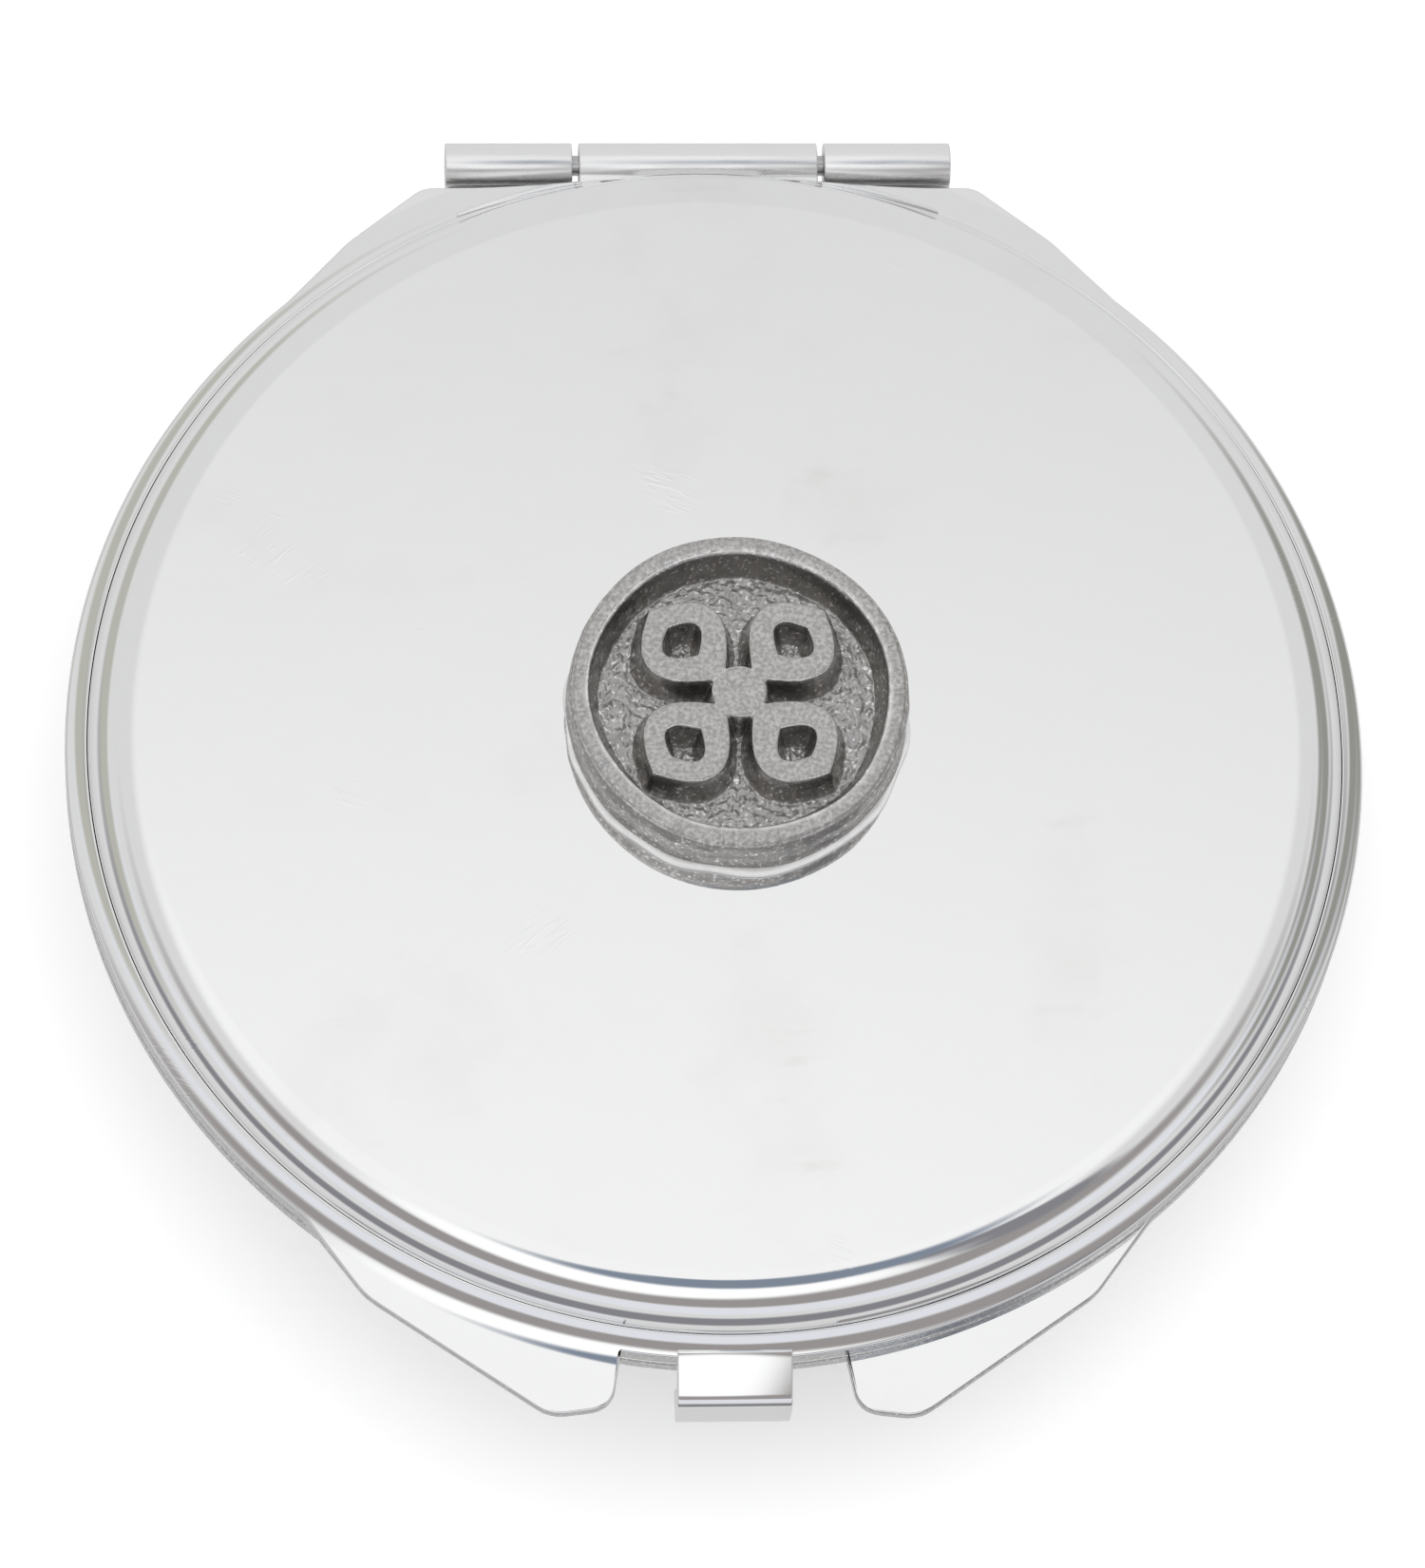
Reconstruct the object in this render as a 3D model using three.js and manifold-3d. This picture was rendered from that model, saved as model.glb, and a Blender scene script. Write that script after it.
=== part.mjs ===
// Round hinged pill box: a drawn base cup and a drawn lid cap, each held in a pressed frame.
// The frames carry the finger ears, the latch tongue and the rolled hinge knuckles. A cast pewter
// badge is glued on the lid. A moulded tray lies in the base, and a mirror sits inside the lid.
// Millimetres, +Z up. The origin is the centre of the base's flat underside, the hinge is at +Y
// and the latch at -Y. Frames and lid pieces are drawn about the parting plane, which is z = 0
// in their own group.

import * as THREE from "three";
import * as BufferGeometryUtils from "three/addons/utils/BufferGeometryUtils.js";
import Module from "manifold-3d";

const wasm = await Module();
wasm.setup();

// ---- driving dimensions -------------------------------------------------------------------
const PARTING_HEIGHT = 8.6;     // parting plane above the table
const PARTING_GAP = 0.2;        // air between the two flanges when closed
const SHEET = 0.45;             // pressed steel sheet
const FLANGE_RADIUS = 26;
const SEGMENTS = 72;            // round the box

const CAP_RADIUS = 25.15;
const CAP_HEIGHT = 2.9;         // top of the lid above the parting plane
const CAP_EDGE_RADIUS = 2.05;
const FRAME_CLEARANCE = 0.1;    // between a frame's bore and its cap or cup

const COVE_RADIUS = 2.25;       // concave sweep from the cap's wall to the flat flange
const COVE_END_RADIUS = 26.9;   // where the cove has run out to flat
const SHEET_OUTER_RADIUS = 31;  // sheet blank, before its outline is cut

const CUP_TOP_RADIUS = 24.7;
const CUP_FOOT_RADIUS = 23.7;
const CUP_EDGE_RADIUS = 1.6;

const HINGE_Y = 26.26;
const BARREL_RADIUS = 0.93;
const BARREL_HALF_LENGTH = 10.45;
const KNUCKLE_SPLIT = 5.07;     // half the centre knuckle, to the middle of each gap
const KNUCKLE_GAP = 0.28;
const BORE_RADIUS = 0.5;
const PIN_RADIUS = 0.42;
const PIN_SIDES = 16;
const BARREL_SIDES = 20;
const LEAF_BACK_Y = 25.0;       // straight back edge of both flanges

const TONGUE_HALF_WIDTH = 2.25;
const TONGUE_SLOPE = THREE.MathUtils.degToRad(26);
const TONGUE_KNEE_Y = 27.2;     // where the sloping tongue starts to bend down
const TONGUE_BEND_RADIUS = 0.8;
const TONGUE_DROP = 1.5;        // straight part below the bend
const TONGUE_LIP = 0.85;        // lip turned in under the base flange

const BADGE_CENTRE = new THREE.Vector2(0.69, 0.36);   // glued on by eye, a little off centre
const BADGE_FOOT_RADIUS = 6.85;
const BADGE_TOP_RADIUS = 6.7;
const BADGE_HEIGHT = 2.2;
const BADGE_RIM_WIDTH = 0.72;
const BADGE_RECESS_DEPTH = 1.5;
const BADGE_RECESS_SLOPE = 0.45;
const BADGE_BEVEL = 0.3;
const BADGE_SEGMENTS = 40;
const PETALS = 4;
const PETAL_START = 0.9;
const PETAL_END = 4.9;
const PETAL_HALF_WIDTH = 1.8;
const PETAL_WALL = 0.8;
const PETAL_SINK = 1.0;
const ADHESIVE_RADIUS = 6.2;
const ADHESIVE_THICKNESS = 0.15;

const MIRROR_RADIUS = 22.6;
const MIRROR_THICKNESS = 1.0;
const PAD_THICKNESS = 0.3;
const BEZEL_LIP_RADIUS = 21.9;
const LAYER_GAP = 0.05;         // between stacked layers

const TRAY_RADIUS = 22.3;
const TRAY_WALL = 0.9;
const TRAY_FLOOR = 0.9;
const TRAY_TOP = PARTING_HEIGHT - 0.5;
const TRAY_FOOT_RADIUS = 1.2;
const TRAY_DIVIDERS = 3;

// ---- helpers ------------------------------------------------------------------------------
function mergedPositions(geometry) {
  geometry.deleteAttribute("normal");
  geometry.deleteAttribute("uv");
  return BufferGeometryUtils.mergeVertices(geometry, 1e-5);
}

// A closed three.js geometry as a manifold solid, turned right side out if it isn't.
function toSolid(geometry) {
  const merged = mergedPositions(geometry);
  const triangles = Uint32Array.from(merged.index.array);
  const points = merged.attributes.position.array;
  if (signedVolume(points, triangles) < 0) {
    triangles.reverse();
  }
  const mesh = new wasm.Mesh({ numProp: 3, vertProperties: points, triVerts: triangles });
  return new wasm.Manifold(mesh);
}

function signedVolume(points, triangles) {
  const [a, b, c] = [new THREE.Vector3(), new THREE.Vector3(), new THREE.Vector3()];
  let volume = 0;
  for (let i = 0; i < triangles.length; i += 3) {
    a.fromArray(points, triangles[i] * 3);
    b.fromArray(points, triangles[i + 1] * 3);
    c.fromArray(points, triangles[i + 2] * 3);
    volume += a.dot(b.cross(c)) / 6;
  }
  return volume;
}

function toGeometry(solid) {
  const mesh = solid.getMesh();
  const geometry = new THREE.BufferGeometry();
  geometry.setAttribute("position", new THREE.BufferAttribute(mesh.vertProperties, 3));
  geometry.setIndex(new THREE.BufferAttribute(mesh.triVerts, 1));
  return geometry;
}

// Solid of revolution about Z from [radius, z] pairs.
function revolve(profile, segments = SEGMENTS) {
  const points = profile.map(([radius, z]) => new THREE.Vector2(radius, z));
  return toSolid(new THREE.LatheGeometry(points, segments).rotateX(Math.PI / 2));
}

function revolveRing(profile, segments = SEGMENTS) {
  return revolve([...profile, profile[0]], segments);
}

// Upright prism from [x, y] corners.
function extrudeUp(corners, bottom, top) {
  const shape = new THREE.Shape(corners.map(([x, y]) => new THREE.Vector2(x, y)));
  const options = { depth: top - bottom, bevelEnabled: false };
  return toSolid(new THREE.ExtrudeGeometry(shape, options).translate(0, 0, bottom));
}

// Prism along X from [y, z] corners, centred on x = 0.
function extrudeAcross(corners, halfWidth) {
  const shape = new THREE.Shape(corners.map(([y, z]) => new THREE.Vector2(y, z)));
  const options = { depth: 2 * halfWidth, bevelEnabled: false };
  const geometry = new THREE.ExtrudeGeometry(shape, options).translate(0, 0, -halfWidth);
  const swap = new THREE.Matrix4().makeBasis(
    new THREE.Vector3(0, 1, 0),
    new THREE.Vector3(0, 0, 1),
    new THREE.Vector3(1, 0, 0),
  );
  return toSolid(geometry.applyMatrix4(swap));
}

function box(low, high) {
  const size = high.map((value, i) => value - low[i]);
  const middle = high.map((value, i) => (value + low[i]) / 2);
  return toSolid(new THREE.BoxGeometry(...size).translate(...middle));
}

// Cylinder along X on the hinge line, from x0 to x1.
function hingeRod(radius, x0, x1, sides) {
  const rod = new THREE.CylinderGeometry(radius, radius, x1 - x0, sides);
  rod.rotateZ(Math.PI / 2).translate((x0 + x1) / 2, HINGE_Y, 0);
  return toSolid(rod);
}

// Points on an arc, both ends included. Angles are in degrees.
function arc([cx, cz], radius, from, to, steps) {
  const points = [];
  for (let i = 0; i <= steps; i += 1) {
    const angle = THREE.MathUtils.degToRad(from + ((to - from) * i) / steps);
    points.push([cx + radius * Math.cos(angle), cz + radius * Math.sin(angle)]);
  }
  return points;
}

// Closed outline with rounded corners, from [x, y, corner radius] entries.
function roundedOutline(corners, steps = 4) {
  const points = [];
  corners.forEach(([x, y, radius], i) => {
    const corner = new THREE.Vector2(x, y);
    const before = new THREE.Vector2(...corners.at(i - 1).slice(0, 2)).sub(corner);
    const after = new THREE.Vector2(...corners[(i + 1) % corners.length].slice(0, 2)).sub(corner);
    const half = Math.acos(before.normalize().dot(after.normalize())) / 2;
    const reach = radius / Math.tan(half);
    const curve = new THREE.QuadraticBezierCurve(
      corner.clone().addScaledVector(before, reach),
      corner,
      corner.clone().addScaledVector(after, reach),
    );
    const count = radius > 0 ? steps : 0;
    for (let k = 0; k <= count; k += 1) {
      const point = count > 0 ? curve.getPoint(k / count) : corner;
      points.push([point.x, point.y]);
    }
  });
  return points;
}

function mirrored(corners) {
  return corners.map(([x, y, ...rest]) => [-x, y, ...rest]).reverse();
}

function part(name, solid, color, roughness, metalness) {
  const material = new THREE.MeshStandardMaterial({ color, roughness, metalness });
  const mesh = new THREE.Mesh(toGeometry(solid), material);
  mesh.name = name;
  return mesh;
}

// ---- frames -------------------------------------------------------------------------------
// Finger ear at the front left, as [x, y, corner radius]. Its last two corners are in the ring.
const EAR_OUTLINE = [
  [-17.3, -19.1, 0],
  [-14.3, -23.15, 3],
  [-7.2, -28.1, 1.7],
  [-4.75, -27.8, 1.2],
  [-4.4, -24.9, 0],
  [-12, -18, 0],
];

// Shoulders beside the hinge, the same on both sides.
const SHOULDER_OUTLINE = [
  [-18.3, 18.2, 0],
  [-14.5, 22.5, 4],
  [-11.4, LEAF_BACK_Y, 1.2],
  [11.4, LEAF_BACK_Y, 1.2],
  [14.5, 22.5, 4],
  [18.3, 18.2, 0],
];

const FLANGE_BOTTOM = PARTING_GAP / 2;
const FLANGE_TOP = FLANGE_BOTTOM + SHEET;

// Height of the cove's surface above the parting plane at a radius.
function coveHeight(radius) {
  const run = COVE_END_RADIUS - radius;
  return FLANGE_TOP + COVE_RADIUS - Math.sqrt(COVE_RADIUS ** 2 - run ** 2);
}

// Section of the sheet ring: flat below, and above a cove that runs out to the flat flange.
function frameSection(boreRadius) {
  const steps = 5;
  const cove = [];
  for (let i = 0; i <= steps; i += 1) {
    const radius = COVE_END_RADIUS + ((boreRadius - COVE_END_RADIUS) * i) / steps;
    cove.push([radius, coveHeight(radius)]);
  }
  return [[boreRadius, FLANGE_BOTTOM], [SHEET_OUTER_RADIUS, FLANGE_BOTTOM],
    [SHEET_OUTER_RADIUS, FLANGE_TOP], ...cove];
}

// Sheet ring cut to its outline: round, with one ear and the two hinge shoulders.
function frameSheet(boreRadius, ear) {
  const reach = CAP_HEIGHT;
  const round = revolve([[0, -reach], [FLANGE_RADIUS, -reach], [FLANGE_RADIUS, reach], [0, reach]]);
  const outline = round
    .add(extrudeUp(roundedOutline(ear), -reach, reach))
    .add(extrudeUp(roundedOutline(SHOULDER_OUTLINE), -reach, reach));
  return revolveRing(frameSection(boreRadius)).intersect(outline);
}

// Cuts the sheet back to the straight leaf edge between two x positions.
function leafCut(x0, x1) {
  return box([x0, LEAF_BACK_Y, -CAP_HEIGHT], [x1, HINGE_Y + 3, CAP_HEIGHT]);
}

// Rolled knuckle with the strip of sheet that joins it to the frame.
function knuckle(x0, x1) {
  const strip = box([x0, LEAF_BACK_Y - SHEET, FLANGE_BOTTOM], [x1, HINGE_Y, FLANGE_TOP]);
  return strip.add(hingeRod(BARREL_RADIUS, x0, x1, BARREL_SIDES));
}

// Room for the cap or cup inside a frame.
function shellBore(radius) {
  return revolve([[0, -CAP_HEIGHT], [radius, -CAP_HEIGHT], [radius, CAP_HEIGHT], [0, CAP_HEIGHT]]);
}

function hingeBore() {
  const reach = BARREL_HALF_LENGTH + 1;
  return hingeRod(BORE_RADIUS, -reach, reach, PIN_SIDES);
}

// Latch tongue: slopes down from the flange, bends over its front and turns in below it.
function latchTongue() {
  const rootRadius = FLANGE_RADIUS - 0.3;
  const kneeDrop = (TONGUE_KNEE_Y - FLANGE_RADIUS) * Math.tan(TONGUE_SLOPE);
  const kneeZ = coveHeight(FLANGE_RADIUS) - kneeDrop;
  const bendCentre = [
    TONGUE_KNEE_Y - TONGUE_BEND_RADIUS * Math.sin(TONGUE_SLOPE),
    kneeZ - TONGUE_BEND_RADIUS * Math.cos(TONGUE_SLOPE),
  ];
  const bendStart = 90 - THREE.MathUtils.radToDeg(TONGUE_SLOPE);
  const front = bendCentre[0] + TONGUE_BEND_RADIUS;
  const foot = bendCentre[1] - TONGUE_DROP;
  const outer = [
    [rootRadius, coveHeight(rootRadius)],
    [FLANGE_RADIUS, coveHeight(FLANGE_RADIUS)],
    ...arc(bendCentre, TONGUE_BEND_RADIUS, bendStart, 0, 4),
    [front, foot + 0.2],
    [front - 0.2, foot],
    [front - SHEET - TONGUE_LIP, foot],
  ];
  const inner = [
    [front - SHEET - TONGUE_LIP, foot + SHEET],
    [front - SHEET, foot + SHEET],
    ...arc(bendCentre, TONGUE_BEND_RADIUS - SHEET, 0, bendStart, 3),
    [rootRadius, coveHeight(FLANGE_RADIUS) - SHEET],
  ];
  const corners = [...outer, ...inner].map(([forward, z]) => [-forward, z]);
  return extrudeAcross(corners, TONGUE_HALF_WIDTH);
}

function lidFrame() {
  const knuckleEnd = KNUCKLE_SPLIT - KNUCKLE_GAP / 2;
  const beside = BARREL_HALF_LENGTH + KNUCKLE_GAP;
  const boreRadius = CAP_RADIUS + FRAME_CLEARANCE;
  return frameSheet(boreRadius, EAR_OUTLINE)
    .subtract(leafCut(knuckleEnd, beside))
    .subtract(leafCut(-beside, -knuckleEnd))
    .add(knuckle(-knuckleEnd, knuckleEnd))
    .add(latchTongue())
    .subtract(shellBore(boreRadius))
    .subtract(hingeBore());
}

// Drawn as the lid's frame is, then turned over about the hinge line's direction.
function baseFrame() {
  const knuckleStart = KNUCKLE_SPLIT + KNUCKLE_GAP / 2;
  const boreRadius = CUP_TOP_RADIUS + FRAME_CLEARANCE;
  return frameSheet(boreRadius, mirrored(EAR_OUTLINE))
    .subtract(leafCut(-knuckleStart, knuckleStart))
    .add(knuckle(knuckleStart, BARREL_HALF_LENGTH))
    .add(knuckle(-BARREL_HALF_LENGTH, -knuckleStart))
    .subtract(shellBore(boreRadius))
    .subtract(hingeBore())
    .mirror([0, 0, 1]);
}

// ---- drawn shells -------------------------------------------------------------------------
function lidCap() {
  const top = CAP_HEIGHT;
  const centre = [CAP_RADIUS - CAP_EDGE_RADIUS, top - CAP_EDGE_RADIUS];
  const rim = FLANGE_BOTTOM;
  return revolve([
    [0, top],
    ...arc(centre, CAP_EDGE_RADIUS, 90, 0, 6),
    [CAP_RADIUS, rim],
    [CAP_RADIUS - SHEET, rim],
    ...arc(centre, CAP_EDGE_RADIUS - SHEET, 0, 90, 4),
    [0, top - SHEET],
  ]);
}

function baseCup() {
  const rim = PARTING_HEIGHT - FLANGE_BOTTOM;
  const centre = [CUP_FOOT_RADIUS - CUP_EDGE_RADIUS, CUP_EDGE_RADIUS];
  return revolve([
    [0, 0],
    ...arc(centre, CUP_EDGE_RADIUS, 270, 360, 5),
    [CUP_TOP_RADIUS, rim],
    [CUP_TOP_RADIUS - SHEET, rim],
    ...arc(centre, CUP_EDGE_RADIUS - SHEET, 360, 270, 4),
    [0, SHEET],
  ]);
}

// ---- hinge pin ----------------------------------------------------------------------------
function hingePin() {
  return hingeRod(PIN_RADIUS, -BARREL_HALF_LENGTH, BARREL_HALF_LENGTH, PIN_SIDES);
}

// ---- badge --------------------------------------------------------------------------------
// Leaf-shaped outline on the X axis, as [x, y] corners.
function leafOutline(from, to, halfWidth) {
  const bulge = new THREE.Vector2(from + (to - from) * 0.6, 2 * halfWidth);
  const side = new THREE.QuadraticBezierCurve(
    new THREE.Vector2(from, 0),
    bulge,
    new THREE.Vector2(to, 0),
  ).getPoints(6);
  const points = side.map((point) => [point.x, point.y]);
  return [...points, ...points.slice(1, -1).reverse().map(([x, y]) => [x, -y])];
}

// One petal of the relief: a raised leaf-shaped outline with a sunk middle.
function petal(angle, bottom, top) {
  const body = extrudeUp(leafOutline(PETAL_START, PETAL_END, PETAL_HALF_WIDTH), bottom, top);
  const middle = leafOutline(
    PETAL_START + 1.7 * PETAL_WALL,
    PETAL_END - 1.3 * PETAL_WALL,
    PETAL_HALF_WIDTH - PETAL_WALL,
  );
  const hollow = extrudeUp(middle, top - PETAL_SINK, top + 1);
  return body.subtract(hollow).rotate([0, 0, angle]);
}

function badge() {
  const top = BADGE_HEIGHT;
  const floor = top - BADGE_RECESS_DEPTH;
  const recess = BADGE_TOP_RADIUS - BADGE_RIM_WIDTH;
  let solid = revolve([
    [0, 0],
    [BADGE_FOOT_RADIUS - BADGE_BEVEL, 0],
    [BADGE_FOOT_RADIUS, BADGE_BEVEL],
    [BADGE_TOP_RADIUS, top - BADGE_BEVEL / 2],
    [BADGE_TOP_RADIUS - BADGE_BEVEL / 2, top],
    [recess, top],
    [recess - BADGE_RECESS_SLOPE, floor],
    [0, floor],
  ], BADGE_SEGMENTS);
  const root = floor - BADGE_BEVEL;
  for (let i = 0; i < PETALS; i += 1) {
    solid = solid.add(petal(45 + (360 / PETALS) * i, root, top));
  }
  const boss = revolve([[0, root], [PETAL_START + 0.2, root], [PETAL_START, top], [0, top]], 16);
  return solid.add(boss);
}

function badgeAdhesive() {
  const thickness = ADHESIVE_THICKNESS - LAYER_GAP;
  return revolve([[0, 0], [ADHESIVE_RADIUS, 0], [ADHESIVE_RADIUS, thickness], [0, thickness]],
    BADGE_SEGMENTS);
}

// ---- mirror in the lid --------------------------------------------------------------------
const CAP_CEILING = CAP_HEIGHT - SHEET;
const PAD_BOTTOM = CAP_CEILING - LAYER_GAP - PAD_THICKNESS;
const MIRROR_TOP = PAD_BOTTOM - LAYER_GAP;
const MIRROR_BOTTOM = MIRROR_TOP - MIRROR_THICKNESS;

function disc(radius, bottom, top) {
  return revolve([[0, bottom], [radius, bottom], [radius, top], [0, top]]);
}

// L-shaped ring: a flat lip over the mirror's edge, and a skirt up inside the cap's wall.
function mirrorBezel() {
  const wall = 0.3;
  const outer = CAP_RADIUS - SHEET - FRAME_CLEARANCE;
  const lipTop = MIRROR_BOTTOM - LAYER_GAP;
  const skirtTop = CAP_HEIGHT - CAP_EDGE_RADIUS;
  const skirtInner = outer - wall;
  return revolveRing([
    [BEZEL_LIP_RADIUS, lipTop - wall],
    [outer - 0.3, lipTop - wall],
    [outer, lipTop],
    [outer, skirtTop + 0.35],
    [skirtInner, skirtTop + 0.35],
    [skirtInner, lipTop],
    [BEZEL_LIP_RADIUS, lipTop],
  ]);
}

// ---- tray in the base ---------------------------------------------------------------------
function pillTray() {
  const bottom = SHEET + 0.15;
  const floor = bottom + TRAY_FLOOR;
  const inner = TRAY_RADIUS - TRAY_WALL;
  const corner = [TRAY_RADIUS - TRAY_FOOT_RADIUS, bottom + TRAY_FOOT_RADIUS];
  let tray = revolve([
    [0, bottom],
    ...arc(corner, TRAY_FOOT_RADIUS, 270, 360, 3),
    [TRAY_RADIUS, TRAY_TOP],
    [inner, TRAY_TOP],
    [inner, floor + 0.7],
    [inner - 0.7, floor],
    [0, floor],
  ]);
  const reach = inner + TRAY_WALL / 2;
  for (let i = 0; i < TRAY_DIVIDERS; i += 1) {
    const divider = box([-TRAY_WALL / 2, 0, floor - 0.4], [TRAY_WALL / 2, reach, TRAY_TOP - 0.4]);
    tray = tray.add(divider.rotate([0, 0, (i * 360) / TRAY_DIVIDERS]));
  }
  return tray;
}

// ---- assembly -----------------------------------------------------------------------------
const CHROME = 0xd9dadc;
const PEWTER = 0x8b8985;

const base = new THREE.Group();
base.add(part("base_cup", baseCup(), CHROME, 0.05, 1));
base.add(part("pill_tray", pillTray(), 0xeeeeea, 0.35, 0));

const baseFrameMesh = part("base_frame", baseFrame(), CHROME, 0.05, 1);
baseFrameMesh.position.z = PARTING_HEIGHT;
base.add(baseFrameMesh);

const hingePinMesh = part("hinge_pin", hingePin(), 0xa8a9ab, 0.25, 1);
hingePinMesh.position.z = PARTING_HEIGHT;
base.add(hingePinMesh);

const lid = new THREE.Group();
lid.position.z = PARTING_HEIGHT;
lid.add(part("lid_frame", lidFrame(), CHROME, 0.05, 1));
lid.add(part("lid_cap", lidCap(), CHROME, 0.04, 1));
lid.add(part("mirror_pad", disc(MIRROR_RADIUS - 1, PAD_BOTTOM, CAP_CEILING - LAYER_GAP), 0xe9e9e4, 0.8, 0));
lid.add(part("lid_mirror", disc(MIRROR_RADIUS, MIRROR_BOTTOM, MIRROR_TOP), 0xe6eaea, 0.02, 1));
lid.add(part("mirror_bezel", mirrorBezel(), CHROME, 0.12, 1));

const badgeGroup = new THREE.Group();
badgeGroup.position.set(BADGE_CENTRE.x, BADGE_CENTRE.y, CAP_HEIGHT);
lid.add(badgeGroup);

const adhesiveMesh = part("badge_adhesive", badgeAdhesive(), 0xcfcfc8, 0.4, 0);
adhesiveMesh.position.z = LAYER_GAP / 2;
badgeGroup.add(adhesiveMesh);

const badgeMesh = part("badge", badge(), PEWTER, 0.5, 1);
badgeMesh.position.z = ADHESIVE_THICKNESS;
badgeGroup.add(badgeMesh);

const pillBox = new THREE.Group();
pillBox.add(base);
pillBox.add(lid);

export default pillBox;
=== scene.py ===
"""Looks of the round hinged pill box: fine meshes, finishes, a pale floor, soft light and a camera.

Meshes are made in millimetres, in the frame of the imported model, and scaled to metres at the end.
"""

import math

import bpy
import numpy as np
from mathutils import Matrix, Vector, noise


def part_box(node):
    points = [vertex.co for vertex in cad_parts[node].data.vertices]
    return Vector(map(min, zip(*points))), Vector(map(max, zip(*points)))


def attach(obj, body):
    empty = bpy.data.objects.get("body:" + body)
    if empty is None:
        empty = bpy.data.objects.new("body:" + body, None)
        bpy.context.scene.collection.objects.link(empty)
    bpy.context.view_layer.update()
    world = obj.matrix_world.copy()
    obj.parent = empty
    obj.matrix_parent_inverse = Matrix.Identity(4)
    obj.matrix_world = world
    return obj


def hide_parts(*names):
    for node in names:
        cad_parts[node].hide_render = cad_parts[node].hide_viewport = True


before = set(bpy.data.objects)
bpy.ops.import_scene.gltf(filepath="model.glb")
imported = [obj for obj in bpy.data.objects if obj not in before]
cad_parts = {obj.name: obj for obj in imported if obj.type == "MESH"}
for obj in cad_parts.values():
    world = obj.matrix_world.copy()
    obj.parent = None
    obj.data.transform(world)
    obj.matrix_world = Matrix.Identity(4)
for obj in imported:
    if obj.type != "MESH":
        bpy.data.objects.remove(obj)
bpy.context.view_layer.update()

MM = 0.001


def corners(node):
    """Lowest and highest corner of a CAD node, in millimetres."""
    low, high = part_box(node)
    return low / MM, high / MM


# ---- dimensions, from the frame where it has them -------------------------------------------
CAP_TOP = corners("lid_cap")[1]
CUP_TOP = corners("base_cup")[1]
PIN_LOW, PIN_HIGH = corners("hinge_pin")
FRAME_HIGH = corners("lid_frame")[1]
BADGE_LOW, BADGE_HIGH = corners("badge")
MIRROR_LOW, MIRROR_HIGH = corners("lid_mirror")
PAD_LOW, PAD_HIGH = corners("mirror_pad")
BEZEL_LOW, BEZEL_HIGH = corners("mirror_bezel")
TRAY_LOW, TRAY_HIGH = corners("pill_tray")

HINGE_Y = (PIN_LOW.y + PIN_HIGH.y) / 2
PARTING = (PIN_LOW.z + PIN_HIGH.z) / 2
BARREL_END = PIN_HIGH.x
BARREL_RADIUS = FRAME_HIGH.y - HINGE_Y
SHEET = 0.45
FLANGE_RADIUS = FRAME_HIGH.x
FLANGE_TOP = 0.55               # above the parting plane
SEAM_HALF = 0.05                # half the gap that shows between the two flanges

CAP_RADIUS = CAP_TOP.x
CAP_EDGE_RADIUS = 2.05
CUP_RADIUS = CUP_TOP.x
CUP_FOOT_RADIUS = 23.7
CUP_EDGE_RADIUS = 1.6
FRAME_BITE = 0.03               # how far a frame's bore grips into its shell

COVE_RADIUS = 2.25
COVE_END = 26.9
LEAF_BACK = 25.0
KNUCKLE_SPLIT = 5.07
KNUCKLE_GAP = 0.28
KNUCKLE_BEND = 0.5              # mid-sheet radius where the flange bends into its knuckle
KNUCKLE_ROOT = LEAF_BACK - 0.4  # where the rolled strip starts, inside the flange
CURL_END = -176.0               # angle where the rolled knuckle's sheet ends

TONGUE_HALF_WIDTH = 2.25
TONGUE_SLOPE = math.radians(26)
TONGUE_KNEE = 27.2
TONGUE_BEND = 0.8
TONGUE_DROP = 1.5
TONGUE_LIP = 0.85

BADGE_CENTRE = (BADGE_LOW + BADGE_HIGH) / 2
BADGE_FOOT = (BADGE_HIGH.x - BADGE_LOW.x) / 2
BADGE_TOP = 6.7
BADGE_DEPTH = 1.5
PETALS = 4

TRAY_WALL = 0.9                 # its floor, too
DIVIDERS = 3

RING_STEPS = 360                # round a turned piece

EAR = [(-17.3, -19.1, 0), (-14.3, -23.15, 3), (-7.2, -28.1, 1.7), (-4.75, -27.8, 1.2),
       (-4.4, -24.9, 0), (-12, -18, 0)]
SHOULDERS = [(-18.3, 18.2, 0), (-14.5, 22.5, 4), (-11.4, LEAF_BACK, 1.2),
             (11.4, LEAF_BACK, 1.2), (14.5, 22.5, 4), (18.3, 18.2, 0)]


# ---- mesh helpers ---------------------------------------------------------------------------
def make_piece(name, points, faces, materials, body, replaced, normals=None,
               kinds=None, sharp=35):
    """A smooth-shaded piece from points in millimetres, riding on its body."""
    mesh = bpy.data.meshes.new(name)
    mesh.from_pydata((np.asarray(points, float) * MM).tolist(), [], faces)
    for material in materials:
        mesh.materials.append(material)
    if kinds is not None:
        mesh.polygons.foreach_set("material_index", np.asarray(kinds, np.int32))
    mesh.shade_smooth()
    if normals is not None:
        mesh.normals_split_custom_set_from_vertices(np.asarray(normals, float).tolist())
    else:
        mesh.set_sharp_from_angle(angle=math.radians(sharp))
    piece = bpy.data.objects.new(name, mesh)
    bpy.context.scene.collection.objects.link(piece)
    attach(piece, body)
    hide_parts(replaced)
    return piece


def arc(centre, radius, start, end, steps):
    """Points on an arc in a plane, angles in degrees, both ends included."""
    turns = np.radians(np.linspace(start, end, steps + 1))
    return [(centre[0] + radius * math.cos(t), centre[1] + radius * math.sin(t)) for t in turns]


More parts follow.
